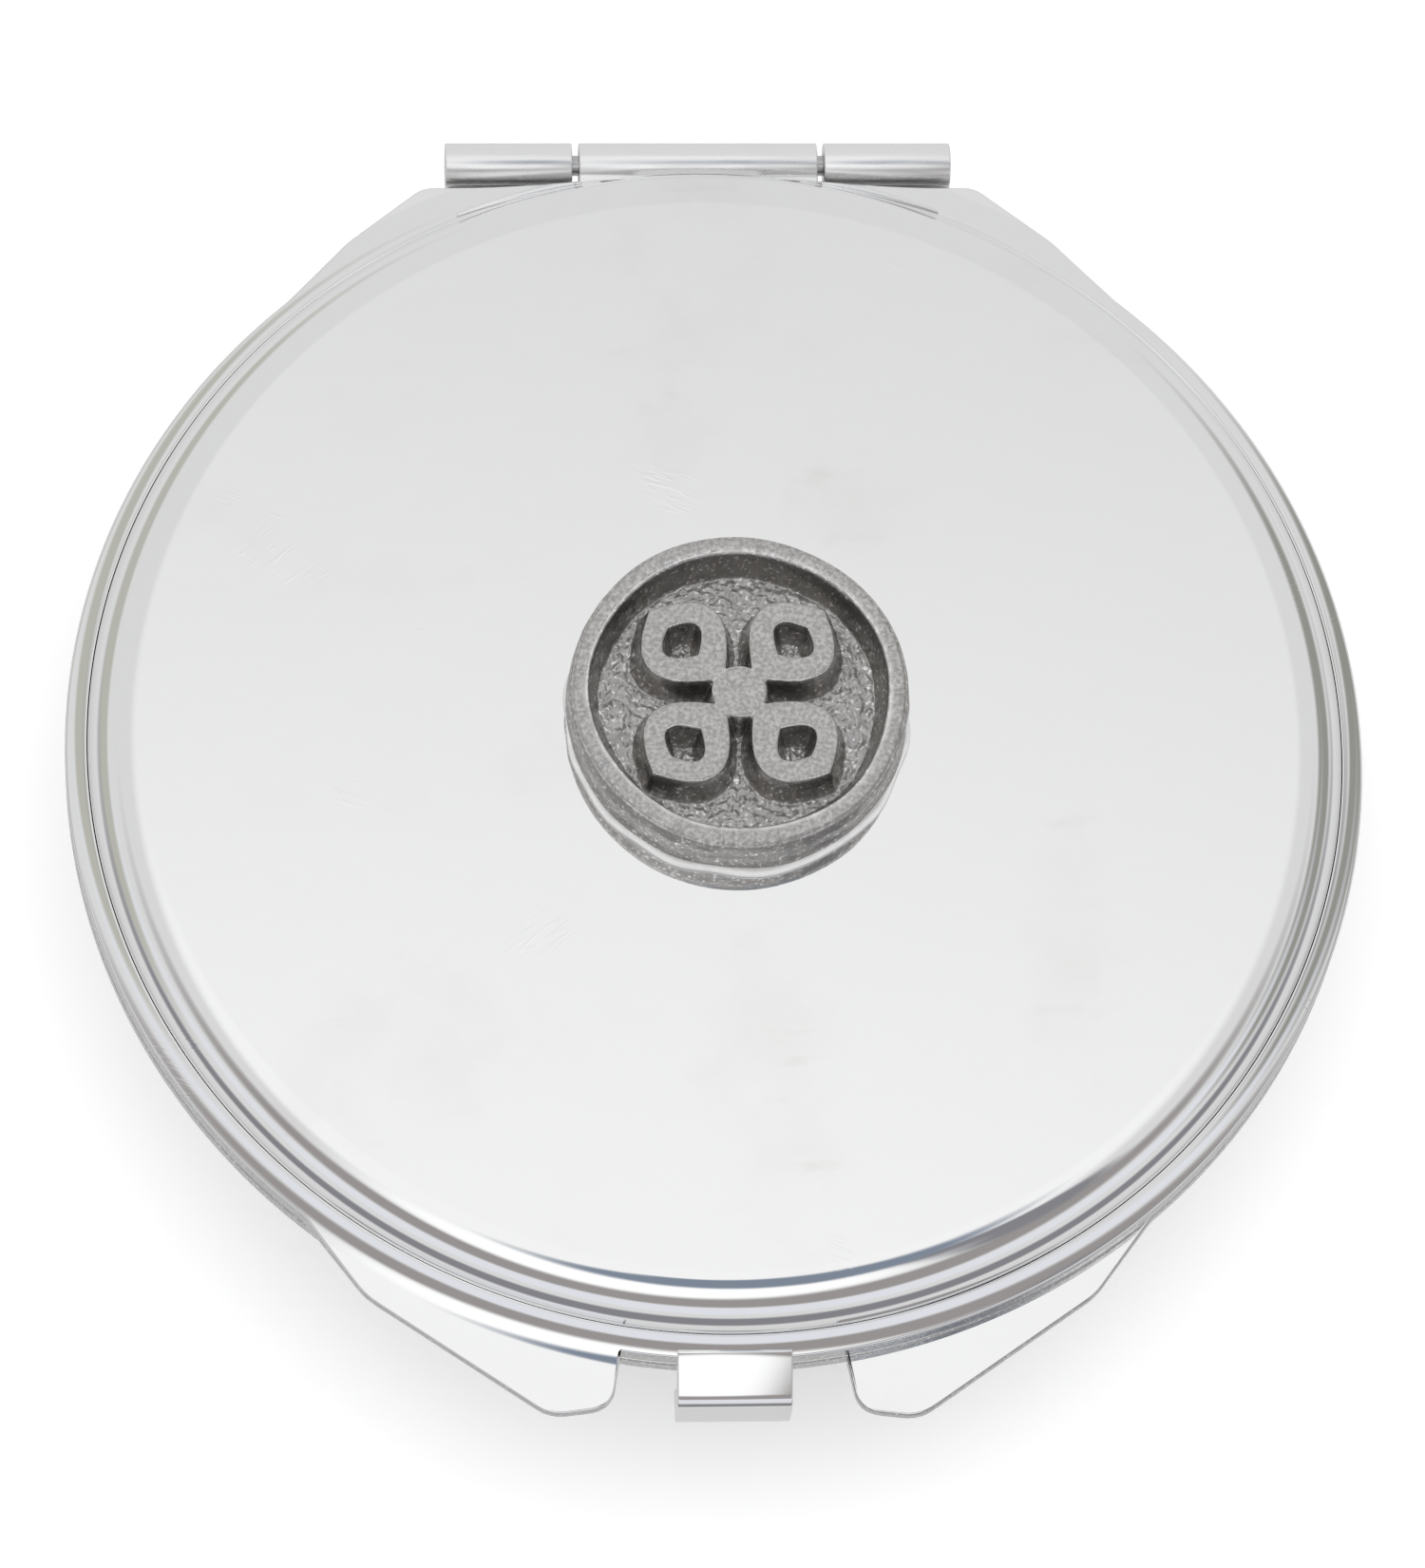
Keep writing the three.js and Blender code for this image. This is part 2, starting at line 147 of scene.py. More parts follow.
def grid_faces(rows, columns, close_rows=False, close_columns=True, start=0):
    """Quads between rows of points. Each row holds `columns` points in turn."""
    faces = []
    for row in range(rows if close_rows else rows - 1):
        below = start + row * columns
        above = start + ((row + 1) % rows) * columns
        for column in range(columns if close_columns else columns - 1):
            beside = (column + 1) % columns
            faces.append((below + column, below + beside, above + beside, above + column))
    return faces


def lathe(profile, steps=RING_STEPS, closed=False):
    """Solid of revolution from (radius, z) pairs, anticlockwise. Ends on the axis unless closed."""
    turns = np.linspace(0, 2 * math.pi, steps, endpoint=False)
    ring = profile if closed else profile[1:-1]
    points = [(r * math.cos(t), r * math.sin(t), z) for r, z in ring for t in turns]
    faces = grid_faces(len(ring), steps, close_rows=closed)
    if not closed:
        first, last = len(points), len(points) + 1
        points += [(0, 0, profile[0][1]), (0, 0, profile[-1][1])]
        top = (len(ring) - 1) * steps
        for column in range(steps):
            beside = (column + 1) % steps
            faces.append((first, beside, column))
            faces.append((last, top + column, top + beside))
    return points, faces


def join(*meshes):
    """Several (points, faces) pairs as one."""
    points, faces = [], []
    for more_points, more_faces in meshes:
        start = len(points)
        points += list(more_points)
        faces += [tuple(start + corner for corner in face) for face in more_faces]
    return points, faces


def across(section, x0, x1, round_off=0.06, steps=3):
    """Closed prism along X from an anticlockwise (y, z) section, its two ends rounded off."""
    section = np.asarray(section, float)
    after = np.roll(section, -1, axis=0) - section
    before = section - np.roll(section, 1, axis=0)
    after /= np.linalg.norm(after, axis=1)[:, None]
    before /= np.linalg.norm(before, axis=1)[:, None]
    outward = np.stack([(after + before)[:, 1], -(after + before)[:, 0]], axis=1)
    outward /= np.maximum(np.linalg.norm(outward, axis=1), 1e-9)[:, None]
    rows = []
    for step in range(steps + 1):
        turn = math.pi / 2 * step / steps
        rows.append((x0 + round_off * (1 - math.sin(turn)), round_off * (1 - math.cos(turn))))
    rows += [(x1 - (x - x0), inset) for x, inset in reversed(rows)]
    rows.sort()
    points = []
    for x, inset in rows:
        for y, z in section - outward * inset:
            points.append((x, y, z))
    count = len(section)
    faces = grid_faces(len(rows), count)
    faces.append(tuple(reversed(range(count))))
    faces.append(tuple(range((len(rows) - 1) * count, len(rows) * count)))
    return points, faces


# ---- node helpers ---------------------------------------------------------------------------
def add_node(tree, kind, inputs=None, **settings):
    """A shader node, each input given as a socket to link or a value to set."""
    made = tree.nodes.new(kind)
    for key, value in settings.items():
        setattr(made, key, value)
    for key, value in (inputs or {}).items():
        if isinstance(value, bpy.types.NodeSocket):
            tree.links.new(value, made.inputs[key])
        else:
            made.inputs[key].default_value = value
    return made


def calc(tree, operation, *values):
    """A Math node's output."""
    return add_node(tree, "ShaderNodeMath", dict(enumerate(values)), operation=operation).outputs[0]


def blend_colours(tree, factor, first, second, mode="MIX"):
    made = add_node(tree, "ShaderNodeMix", {0: factor, 6: first, 7: second},
                    data_type="RGBA", blend_type=mode)
    return made.outputs[2]


def remap(tree, value, low, high, to_low=0.0, to_high=1.0):
    """A smooth step of value from low..high to to_low..to_high."""
    made = add_node(tree, "ShaderNodeMapRange",
                    {0: value, 1: low, 2: high, 3: to_low, 4: to_high},
                    interpolation_type="SMOOTHSTEP")
    return made.outputs[0]


def grey(value, warmth=0.0):
    """A linear grey, warmer or cooler by a little."""
    return (value * (1 + warmth), value, value * (1 - warmth), 1.0)


def from_screen(red, green, blue):
    """Linear colour of a screen colour given in 0..255."""
    def linear(part):
        part /= 255
        return part / 12.92 if part <= 0.04045 else ((part + 0.055) / 1.055) ** 2.4
    return (linear(red), linear(green), linear(blue), 1.0)


class Finish:
    """A Principled material with coordinates in millimetres."""

    def __init__(self, name, metallic=0.0, **constants):
        self.material = bpy.data.materials.new(name)
        self.material.use_nodes = True
        self.tree = self.material.node_tree
        self.shader = self.tree.nodes["Principled BSDF"]
        self.shader.inputs["Metallic"].default_value = metallic
        for key, value in constants.items():
            self.shader.inputs[key.replace("_", " ")].default_value = value
        place = add_node(self.tree, "ShaderNodeTexCoord").outputs["Object"]
        self.place = self.scaled(place, (1 / MM,) * 3)
        self.height = None

    def scaled(self, vector, scale):
        return add_node(self.tree, "ShaderNodeMapping", {"Vector": vector, "Scale": scale}).outputs[0]

    def noise(self, per_mm, detail=3.0, vector=None, roughness=0.55):
        made = add_node(self.tree, "ShaderNodeTexNoise",
                        {"Vector": vector or self.place, "Scale": per_mm, "Detail": detail,
                         "Roughness": roughness})
        return made.outputs["Fac"]

    def attribute(self, name):
        return add_node(self.tree, "ShaderNodeAttribute", attribute_name=name).outputs["Fac"]

    def link(self, socket, value):
        if isinstance(value, bpy.types.NodeSocket):
            self.tree.links.new(value, self.shader.inputs[socket])
        else:
            self.shader.inputs[socket].default_value = value

    def bump(self, height, depth_mm, strength=1.0):
        """Adds a bump of the given depth over those before it."""
        inputs = {"Height": height, "Distance": depth_mm * MM, "Strength": strength}
        if self.height is not None:
            inputs["Normal"] = self.height
        self.height = add_node(self.tree, "ShaderNodeBump", inputs).outputs["Normal"]
        self.link("Normal", self.height)

    def scratches(self, angle, seed, per_mm=1.2, stretch=14, amount=0.035):
        """Sparse fine lines along one direction: 0 off a scratch, up to 1 on it."""
        turned = add_node(self.tree, "ShaderNodeMapping",
                          {"Vector": self.place, "Location": (seed, 2 * seed, 0),
                           "Rotation": (0, 0, math.radians(angle))}).outputs[0]
        drawn_out = self.scaled(turned, (1 / stretch, 1, 0))
        lines = self.noise(per_mm * 3, detail=1.0, vector=drawn_out)
        patches = self.noise(0.11, detail=2.0, vector=turned)
        thin = remap(self.tree, calc(self.tree, "ABSOLUTE", calc(self.tree, "SUBTRACT", lines, 0.5)),
                     amount, 0.0)
        return calc(self.tree, "MULTIPLY", thin, remap(self.tree, patches, 0.66, 0.72))


# ---- finishes -------------------------------------------------------------------------------
def chrome(name="polished_plate", tone=0.93):
    finish = Finish(name, metallic=1.0)
    tree = finish.tree
    smudge = remap(tree, finish.noise(0.13, detail=5.0), 0.52, 0.72)
    streak = remap(tree, finish.noise(0.6, detail=4.0,
                                      vector=finish.scaled(finish.place, (0.25, 1, 1))), 0.58, 0.75)
    haze = calc(tree, "MULTIPLY", smudge, calc(tree, "ADD", 0.35, streak))
    finish.link("Base Color", blend_colours(tree, haze, grey(tone, -0.002), grey(tone * 0.9, 0.012)))
    grain = finish.noise(2.5, detail=4.0)
    fine = remap(tree, grain, 0.3, 0.8, 0.02, 0.055)
    finish.link("Roughness", calc(tree, "ADD", fine, calc(tree, "MULTIPLY", haze, 0.05)))
    finish.bump(finish.noise(0.35, detail=2.0), 0.006, 0.5)
    finish.bump(finish.scratches(24, 3.1), 0.004, 0.5)
    finish.bump(finish.scratches(-38, 8.7), 0.004, 0.4)
    return finish.material


def rolled_barrel():
    """Plate after rolling: fine drawn lines along X, softer than the flat sheet."""
    finish = Finish("rolled_barrel", metallic=1.0)
    tree = finish.tree
    lines = finish.noise(5.0, vector=finish.scaled(finish.place, (0.06, 1, 1)))
    finish.link("Base Color", blend_colours(tree, lines, grey(0.9), grey(0.97)))
    finish.link("Roughness", remap(tree, lines, 0.3, 0.7, 0.24, 0.34))
    finish.bump(lines, 0.006, 0.4)
    return finish.material


def cut_edge():
    """Sheared edge of plated sheet: duller, pitted, in light and dark dots."""
    finish = Finish("sheared_edge", metallic=1.0)
    tree = finish.tree
    pits = finish.noise(7.0, detail=3.0)
    finish.link("Base Color", blend_colours(tree, remap(tree, pits, 0.52, 0.68),
                                            grey(0.56, 0.01), grey(0.84)))
    finish.link("Roughness", remap(tree, finish.noise(3.0), 0.3, 0.7, 0.1, 0.26))
    finish.bump(pits, 0.02, 0.5)
    return finish.material


def pewter():
    """Cast metal: grained and sparkling in the recess, filed on top, bright where it is worn."""
    finish = Finish("cast_pewter", metallic=1.0)
    tree = finish.tree
    filed, worn, patina_and_painted_shade = (finish.attribute(name) for name in ("filed", "worn", "patina_and_painted_shade"))
    mottle = finish.noise(1.2, detail=4.0)
    speck = finish.noise(6.0, detail=3.0)
    cast = blend_colours(tree, remap(tree, mottle, 0.3, 0.7), grey(0.42, 0.03), grey(0.58, 0.025))
    bare = blend_colours(tree, remap(tree, speck, 0.35, 0.65), grey(0.42, 0.025), grey(0.6, 0.02))
    colour = blend_colours(tree, filed, cast, bare)
    # Painted shade with some real patina: the badge is darker on the walls of its relief and recess,
    # on the lowest floor and on its sides.
    colour = blend_colours(tree, calc(tree, "MULTIPLY", patina_and_painted_shade, 0.7), colour, grey(0.28, 0.04))
    glints = calc(tree, "MULTIPLY", remap(tree, speck, 0.57, 0.67), calc(tree, "SUBTRACT", 1.0, filed))
    colour = blend_colours(tree, calc(tree, "MAXIMUM", worn, glints), colour, grey(0.88, 0.012))
    finish.link("Base Color", colour)
    rough = remap(tree, speck, 0.3, 0.7, 0.42, 0.26)
    finish.link("Roughness", calc(tree, "SUBTRACT", rough, calc(tree, "MULTIPLY", worn, 0.1)))
    grains = add_node(tree, "ShaderNodeTexVoronoi", {"Vector": finish.place, "Scale": 2.6},
                      feature="SMOOTH_F1").outputs["Distance"]
    rounded_grains = calc(tree, "MULTIPLY", calc(tree, "SUBTRACT", 1.0, grains),
                          calc(tree, "SUBTRACT", 1.0, filed))
    finish.bump(rounded_grains, 0.09, 0.4)
    finish.bump(speck, 0.02, 0.35)
    marks = finish.noise(4.0, detail=2.0, vector=finish.scaled(finish.place, (1, 0.12, 0.12)))
    finish.bump(calc(tree, "MULTIPLY", marks, filed), 0.05, 0.5)
    return finish.material


def glue():
    finish = Finish("cured_glue", Roughness=0.16, IOR=1.5)
    tree = finish.tree
    cloud = finish.noise(1.4, detail=3.0)
    finish.link("Base Color", blend_colours(tree, cloud, grey(0.62), grey(0.86, 0.01)))
    finish.bump(finish.noise(2.2), 0.08, 0.6)
    return finish.material


def tray_plastic():
    finish = Finish("tray_plastic", IOR=1.49)
    tree = finish.tree
    cloud = finish.noise(0.25, detail=4.0)
    finish.link("Base Color", blend_colours(tree, cloud, grey(0.76, 0.01), grey(0.84, 0.006)))
    finish.link("Roughness", remap(tree, finish.noise(1.5, detail=4.0), 0.3, 0.7, 0.28, 0.42))
    finish.bump(finish.noise(9.0, detail=2.0), 0.012, 0.4)
    return finish.material


def mirror_glass():
    finish = Finish("mirror_glass", metallic=1.0)
    tree = finish.tree
    dust = remap(tree, finish.noise(3.5, detail=4.0), 0.68, 0.78)
    finish.link("Base Color", blend_colours(tree, dust, (0.87, 0.9, 0.9, 1), grey(0.78)))
    finish.link("Roughness", remap(tree, dust, 0.0, 1.0, 0.008, 0.16))
    return finish.material


def drawn_wire():
    finish = Finish("drawn_wire", metallic=1.0)
    tree = finish.tree
    lines = finish.noise(6.0, vector=finish.scaled(finish.place, (0.08, 1, 1)))
    finish.link("Base Color", blend_colours(tree, lines, grey(0.48), grey(0.66)))
    finish.link("Roughness", remap(tree, lines, 0.3, 0.7, 0.2, 0.36))
    finish.bump(lines, 0.02, 0.4)
    return finish.material


def foam():
    finish = Finish("closed_cell_foam", Roughness=0.85)
    tree = finish.tree
    cells = add_node(tree, "ShaderNodeTexVoronoi", {"Vector": finish.place, "Scale": 4.0})
    finish.link("Base Color", blend_colours(tree, cells.outputs["Distance"],
                                            grey(0.72, 0.02), grey(0.84, 0.015)))
    finish.bump(cells.outputs["Distance"], 0.05, 0.5)
    return finish.material


# ---- turned shells --------------------------------------------------------------------------
def lid_cap(material):
    top, rim, wall = CAP_TOP.z, PARTING + SEAM_HALF, SHEET
    centre = (CAP_RADIUS - CAP_EDGE_RADIUS, top - CAP_EDGE_RADIUS)
    inner = CAP_EDGE_RADIUS - wall
    flat = [12.0, 20.0, centre[0] - 0.2, centre[0] - 0.05]
    profile = [(0, top - wall)]
    profile += arc(centre, inner, 90, 0, 10)
    profile += [(CAP_RADIUS - wall, rim + 0.05), (CAP_RADIUS - wall + 0.05, rim)]
    profile += [(CAP_RADIUS - 0.05, rim), (CAP_RADIUS, rim + 0.05), (CAP_RADIUS, rim + 0.1)]
    profile += [(CAP_RADIUS, centre[1] - 0.05)]
    profile += arc(centre, CAP_EDGE_RADIUS, 0, 90, 48)
    profile += [(radius, top) for radius in reversed(flat)]
    profile += [(0, top)]
    points, faces = lathe(profile, 2 * RING_STEPS)
    make_piece("cap_shell", points, faces, [material], "lid", "lid_cap")


def base_cup(material):
    rim, wall = CUP_TOP.z, SHEET
    centre = (CUP_FOOT_RADIUS - CUP_EDGE_RADIUS, CUP_EDGE_RADIUS)
    lean = math.degrees(math.atan2(CUP_RADIUS - CUP_FOOT_RADIUS, rim - CUP_EDGE_RADIUS))
    profile = [(0, 0), (14.0, 0), (centre[0] - 0.2, 0), (centre[0] - 0.05, 0)]
    profile += arc(centre, CUP_EDGE_RADIUS, 270, 360 - lean, 36)
    profile += [(CUP_RADIUS - 0.02, rim - 0.1), (CUP_RADIUS - 0.06, rim)]
    profile += [(CUP_RADIUS - wall + 0.06, rim), (CUP_RADIUS - wall, rim - 0.08)]
    profile += arc(centre, CUP_EDGE_RADIUS - wall, 360 - lean, 270, 12)
    profile += [(centre[0] - 0.1, wall), (0, wall)]
    points, faces = lathe(profile, 2 * RING_STEPS)
    make_piece("cup_shell", points, faces, [material], "base", "base_cup")


def mirror_and_bezel(glass, metal, foam_material):
    radius, low, high, edge = MIRROR_HIGH.x, MIRROR_LOW.z, MIRROR_HIGH.z, 0.12
    profile = [(0, low), (radius - 1, low), (radius - edge, low), (radius, low + edge),
               (radius, high - edge), (radius - edge, high), (0, high)]
    points, faces = lathe(profile)
    make_piece("mirror_disc", points, faces, [glass], "lid", "lid_mirror")

    lip, wall = 21.9, 0.3
    outer, low, high = BEZEL_HIGH.x, BEZEL_LOW.z, BEZEL_HIGH.z
    turn = arc((outer - wall, low + wall), wall, 270, 360, 10)
    profile = [(lip + 0.1, low + 0.02), (lip + 0.2, low)] + turn
    profile += [(outer, high), (outer - wall, high), (outer - wall, low + wall)]
    profile += [(lip + 0.08, low + wall), *arc((lip + 0.1, low + 0.17), 0.1, 130, 240, 6)]
    points, faces = lathe(profile, closed=True)
    make_piece("bezel_ring", points, faces, [metal], "lid", "mirror_bezel")

    radius, low, high, edge = PAD_HIGH.x, PAD_LOW.z, PAD_HIGH.z, 0.08
    profile = [(0, low), (radius - edge, low), (radius, low + edge), (radius, high - edge),
               (radius - edge, high), (0, high)]
    points, faces = lathe(profile)
    pad = make_piece("foam_disc", points, faces, [foam_material], "lid", "mirror_pad")


# ---- pressed frames -------------------------------------------------------------------------
PLATE, BARREL = 0, 2            # places in a frame's list of materials; the sheared edge is 1


def rounded(outline, steps=10):
    """Closed outline with rounded corners, from (x, y, corner radius) entries."""
    points = []
    for i, (x, y, radius) in enumerate(outline):
        corner = Vector((x, y))
        if radius == 0:
            points.append(corner)
            continue
        before = (Vector(outline[i - 1][:2]) - corner).normalized()
        after = (Vector(outline[(i + 1) % len(outline)][:2]) - corner).normalized()
        reach = radius / math.tan(before.angle(after) / 2)
        start, end = corner + before * reach, corner + after * reach
        for t in np.linspace(0, 1, steps + 1):
            points.append(start * (1 - t) ** 2 + corner * 2 * t * (1 - t) + end * t ** 2)
    return points


def reach_of(outline, turn):
    """How far from the axis a ray at this angle leaves a closed outline, or 0 where it misses."""
    ray = Vector((math.cos(turn), math.sin(turn)))
    furthest = 0.0
    for i, start in enumerate(outline):
        step = outline[(i + 1) % len(outline)] - start
        spread = ray.x * step.y - ray.y * step.x
        if abs(spread) < 1e-12:
            continue
        along = (start.x * step.y - start.y * step.x) / spread
        share = (start.x * ray.y - start.y * ray.x) / spread
        if 0 <= share <= 1 and along > furthest:
            furthest = along
    return furthest


def frame_outline(ear):
    """Angles and radii of a frame's outline. The back is cut straight in front of the hinge."""
    features = [rounded(ear), rounded(SHOULDERS)]

    def radius_at(turn):
        radius = max(FLANGE_RADIUS, *(reach_of(outline, turn) for outline in features))
        if math.sin(turn) > 0.5:
            back = LEAF_BACK / math.sin(turn)
            if abs(back * math.cos(turn)) < BARREL_END + KNUCKLE_GAP:
                radius = min(radius, back)
        return radius

    turns = list(np.linspace(0, 2 * math.pi, 2 * RING_STEPS + 1))
    radii = [radius_at(turn) for turn in turns]
    i = 0
    while i < len(turns) - 1:
        if abs(radii[i + 1] - radii[i]) > 0.1 and turns[i + 1] - turns[i] > 2e-4:
            turns.insert(i + 1, (turns[i] + turns[i + 1]) / 2)
            radii.insert(i + 1, radius_at(turns[i + 1]))
        else:
            i += 1
    return np.array(turns[:-1]), np.array(radii[:-1])


def cove_height(radius):
    run = np.clip(COVE_END - radius, 0, None)
    return FLANGE_TOP + COVE_RADIUS - np.sqrt(COVE_RADIUS ** 2 - run ** 2)


def cove_normal(xy):
    """Upward normal of the sheet's top at each point."""
    radius = np.linalg.norm(xy, axis=1)
    lean = np.clip(COVE_END - radius, 0, None) / COVE_RADIUS
    flat = xy / radius[:, None] * lean[:, None]
    return np.column_stack([flat, np.sqrt(1 - lean ** 2)])


def frame_ring(ear, bore):
    """Sheet ring: points, normals, faces, and 1 for each face on the sheared edge."""
    turns, radii = frame_outline(ear)
    ray = np.column_stack([np.cos(turns), np.sin(turns)])
    rim = ray * radii[:, None]
    along = np.roll(rim, -1, axis=0) - np.roll(rim, 1, axis=0)
    out = np.column_stack([along[:, 1], -along[:, 0]])
    out /= np.linalg.norm(out, axis=1)[:, None]
    edge = 0.11
    inset = rim - out * edge
    inner_radius = np.minimum(FLANGE_RADIUS - 0.15, radii - 0.12)
    rows, slants, sheared = [], [], []

    def row(xy, z, normal, on_edge=False):
        rows.append(np.column_stack([xy, np.broadcast_to(z, len(xy))]))
        slants.append(normal)
        sheared.append(on_edge)

    up = np.array([0.0, 0.0, 1.0])
    bottom = SEAM_HALF
    bore_edge = 0.1
    inward = np.column_stack([-ray, np.zeros(len(ray))])
    row(ray * bore, bottom + bore_edge, inward)
    row(ray * bore, cove_height(bore + bore_edge) - bore_edge, inward)
    for turn in np.radians((30, 60)):
        xy = ray * (bore + bore_edge * (1 - math.sin(turn)))
        z = cove_height(bore + bore_edge) - bore_edge * (1 - math.cos(math.pi / 2 - turn))
        row(xy, z, inward * math.cos(turn) + up * math.sin(turn))
    for share in np.linspace(0, 1, 22):
        xy = ray * ((bore + bore_edge) * (1 - share) + inner_radius * share)[:, None]
        row(xy, cove_height(np.linalg.norm(xy, axis=1)), cove_normal(xy))
    start = ray * inner_radius[:, None]
    bend = (COVE_END - inner_radius) / (np.linalg.norm(inset, axis=1) - inner_radius)
    knee = start + (inset - start) * np.clip(bend, 0.3, 0.8)[:, None]
    for share in np.linspace(0, 2, 23)[1:]:
        if share <= 1:
            xy = start * (1 - share) + knee * share
        else:
            xy = knee * (2 - share) + inset * (share - 1)
        row(xy, cove_height(np.linalg.norm(xy, axis=1)), cove_normal(xy))
    top = cove_height(np.linalg.norm(inset, axis=1))
    over = cove_normal(inset)
    side = np.column_stack([out, np.zeros(len(out))])
    for turn in np.radians((30, 60, 90)):
        row(inset + out * edge * math.sin(turn), top - edge * (1 - math.cos(turn)),
            over * math.cos(turn) + side * math.sin(turn), turn > 0.8)
    row(rim, bottom + edge, side, True)
    for turn in np.radians((30, 60, 90)):
        row(inset + out * edge * math.cos(turn), bottom + edge * (1 - math.sin(turn)),
            side * math.cos(turn) - up * math.sin(turn), turn < 0.8)
    row(ray * (bore + bore_edge), bottom, np.tile(-up, (len(ray), 1)))
    points = np.concatenate(rows)
    normals = np.concatenate(slants)
    normals /= np.linalg.norm(normals, axis=1)[:, None]
    count = len(turns)
    faces = [tuple(reversed(face)) for face in grid_faces(len(rows), count, close_rows=True)]
    kinds = [int(sheared[i]) for i in range(len(rows)) for _ in range(count)]
    return points, normals, faces, kinds


def curl_section():
    """Rolled knuckle and the strip of sheet it is rolled from, about the hinge line as (y, z)."""
    mid_radius = BARREL_RADIUS - SHEET / 2
    sheet_z = (FLANGE_TOP + 0.1) / 2
    rise = sheet_z + KNUCKLE_BEND
    run = math.sqrt((KNUCKLE_BEND + mid_radius) ** 2 - rise ** 2)
    lean = math.degrees(math.atan2(rise, run))
    half = SHEET / 2
    turned = (-run, rise)
    outer = [(KNUCKLE_ROOT - HINGE_Y, sheet_z + half)]
    outer += arc(turned, KNUCKLE_BEND - half, -90, -lean, 8)[:-1]
    outer += arc((0, 0), mid_radius + half, 180 - lean, CURL_END, 60)
    inner = arc((0, 0), mid_radius - half, CURL_END, 180 - lean, 40)[:-1]
    inner += arc(turned, KNUCKLE_BEND + half, -lean, -90, 10)
    inner += [(KNUCKLE_ROOT - HINGE_Y, sheet_z - half)]
    return [(HINGE_Y + y, z) for y, z in reversed(outer + inner)]


def tongue_section():
    """Latch tongue as (y, z): out of the cove, down over its bend, and in at the foot."""
    root = FLANGE_RADIUS - 0.35
    proud = 0.015
    knee_z = cove_height(FLANGE_RADIUS) - (TONGUE_KNEE - FLANGE_RADIUS) * math.tan(TONGUE_SLOPE)
    centre = (TONGUE_KNEE - TONGUE_BEND * math.sin(TONGUE_SLOPE),
              knee_z - TONGUE_BEND * math.cos(TONGUE_SLOPE))
    turn = 90 - math.degrees(TONGUE_SLOPE)
    front = centre[0] + TONGUE_BEND
    foot = centre[1] - TONGUE_DROP
    heel = 0.3
    back = front - SHEET - TONGUE_LIP
    outer = [(r, cove_height(r) + proud) for r in np.linspace(root, FLANGE_RADIUS, 5)]
    outer += arc(centre, TONGUE_BEND, turn, 0, 14)
    outer += arc((front - heel, foot + heel), heel, 0, -90, 6)
    outer += [(back, foot)]
    inner = [(back, foot + SHEET), (front - SHEET, foot + SHEET)]
    inner += arc(centre, TONGUE_BEND - SHEET, 0, turn, 8)
    inner += [(root, cove_height(FLANGE_RADIUS) - SHEET)]
    return [(-forward, z) for forward, z in outer + inner]


def flat_normals(points, faces):
    """Vertex normals of the small bent pieces: each side face counts equally, end caps don't."""
    points = np.asarray(points)
    normals = np.zeros_like(points)
    for face in faces:
        if len(face) > 4:
            continue
        a, b, c = points[face[0]], points[face[1]], points[face[2]]
        turn = np.cross(b - a, c - a)
        normals[list(face)] += turn / max(np.linalg.norm(turn), 1e-12)
    lengths = np.linalg.norm(normals, axis=1)
    normals[lengths == 0] = (1, 0, 0)
    return normals / np.maximum(lengths, 1e-9)[:, None]


def pressed_frame(name, node, body, materials, ear, bore, knuckles, extra, flip):
    points, normals, faces, kinds = frame_ring(ear, bore)
    points, normals = points.tolist(), normals.tolist()
    bent = [(curl_section(), *span, BARREL) for span in knuckles] + extra
    for section, x0, x1, kind in bent:
        more_points, more_faces = across(section, x0, x1)
        start = len(points)
        points += more_points
        normals += flat_normals(more_points, more_faces).tolist()
        faces += [tuple(start + corner for corner in face) for face in more_faces]
        kinds += [kind] * len(more_faces)
    points, normals = np.array(points), np.array(normals)
    if flip:
        points[:, 2] *= -1
        normals[:, 2] *= -1
        faces = [tuple(reversed(face)) for face in faces]
    points[:, 2] += PARTING
    make_piece(name, points, faces, materials, body, node,
               normals=normals, kinds=kinds)


def frames(plate, edge, barrel):
    materials = [plate, edge, barrel]
    inner_end = KNUCKLE_SPLIT - KNUCKLE_GAP / 2
    outer_start = KNUCKLE_SPLIT + KNUCKLE_GAP / 2
    pressed_frame("lid_flange", "lid_frame", "lid", materials, EAR,
                  CAP_RADIUS - FRAME_BITE, [(-inner_end, inner_end)],
                  [(tongue_section(), -TONGUE_HALF_WIDTH, TONGUE_HALF_WIDTH, PLATE)], False)
    mirrored = [(-x, y, radius) for x, y, radius in reversed(EAR)]
    pressed_frame("base_flange", "base_frame", "base", materials, mirrored,
                  CUP_RADIUS - FRAME_BITE,
                  [(outer_start, BARREL_END), (-BARREL_END, -outer_start)], [], True)


def hinge_pin(material):
    radius, end, dome = PIN_HIGH.z - PARTING, BARREL_END, 0.12
    profile = [(0, -end), (radius - dome, -end + 0.01)]
    profile += arc((radius - dome, -end + dome), dome, 300, 360, 3)
    profile += arc((radius - dome, end - dome), dome, 0, 60, 3)
    profile += [(radius - dome, end - 0.01), (0, end)]
    points, faces = lathe(profile, 40)
    points = [(z, HINGE_Y + x, PARTING + y) for x, y, z in points]
    make_piece("pin_wire", points, faces, [material], "base", "hinge_pin")


# ---- badge ----------------------------------------------------------------------------------
def smooth_step(value, low, high):
    share = np.clip((value - low) / (high - low), 0, 1)
    return share * share * (3 - 2 * share)


def leaf(start, end, half_width, steps=16):
    """Leaf outline on the X axis, widest a little past its middle."""
    t = np.linspace(0, 1, steps + 1)
    middle = start + (end - start) * 0.6
    x = start * (1 - t) ** 2 + middle * 2 * t * (1 - t) + end * t ** 2
    y = half_width * 4 * t * (1 - t)
    upper = np.column_stack([x, y])
    return np.concatenate([upper, upper[-2:0:-1] * (1, -1)])


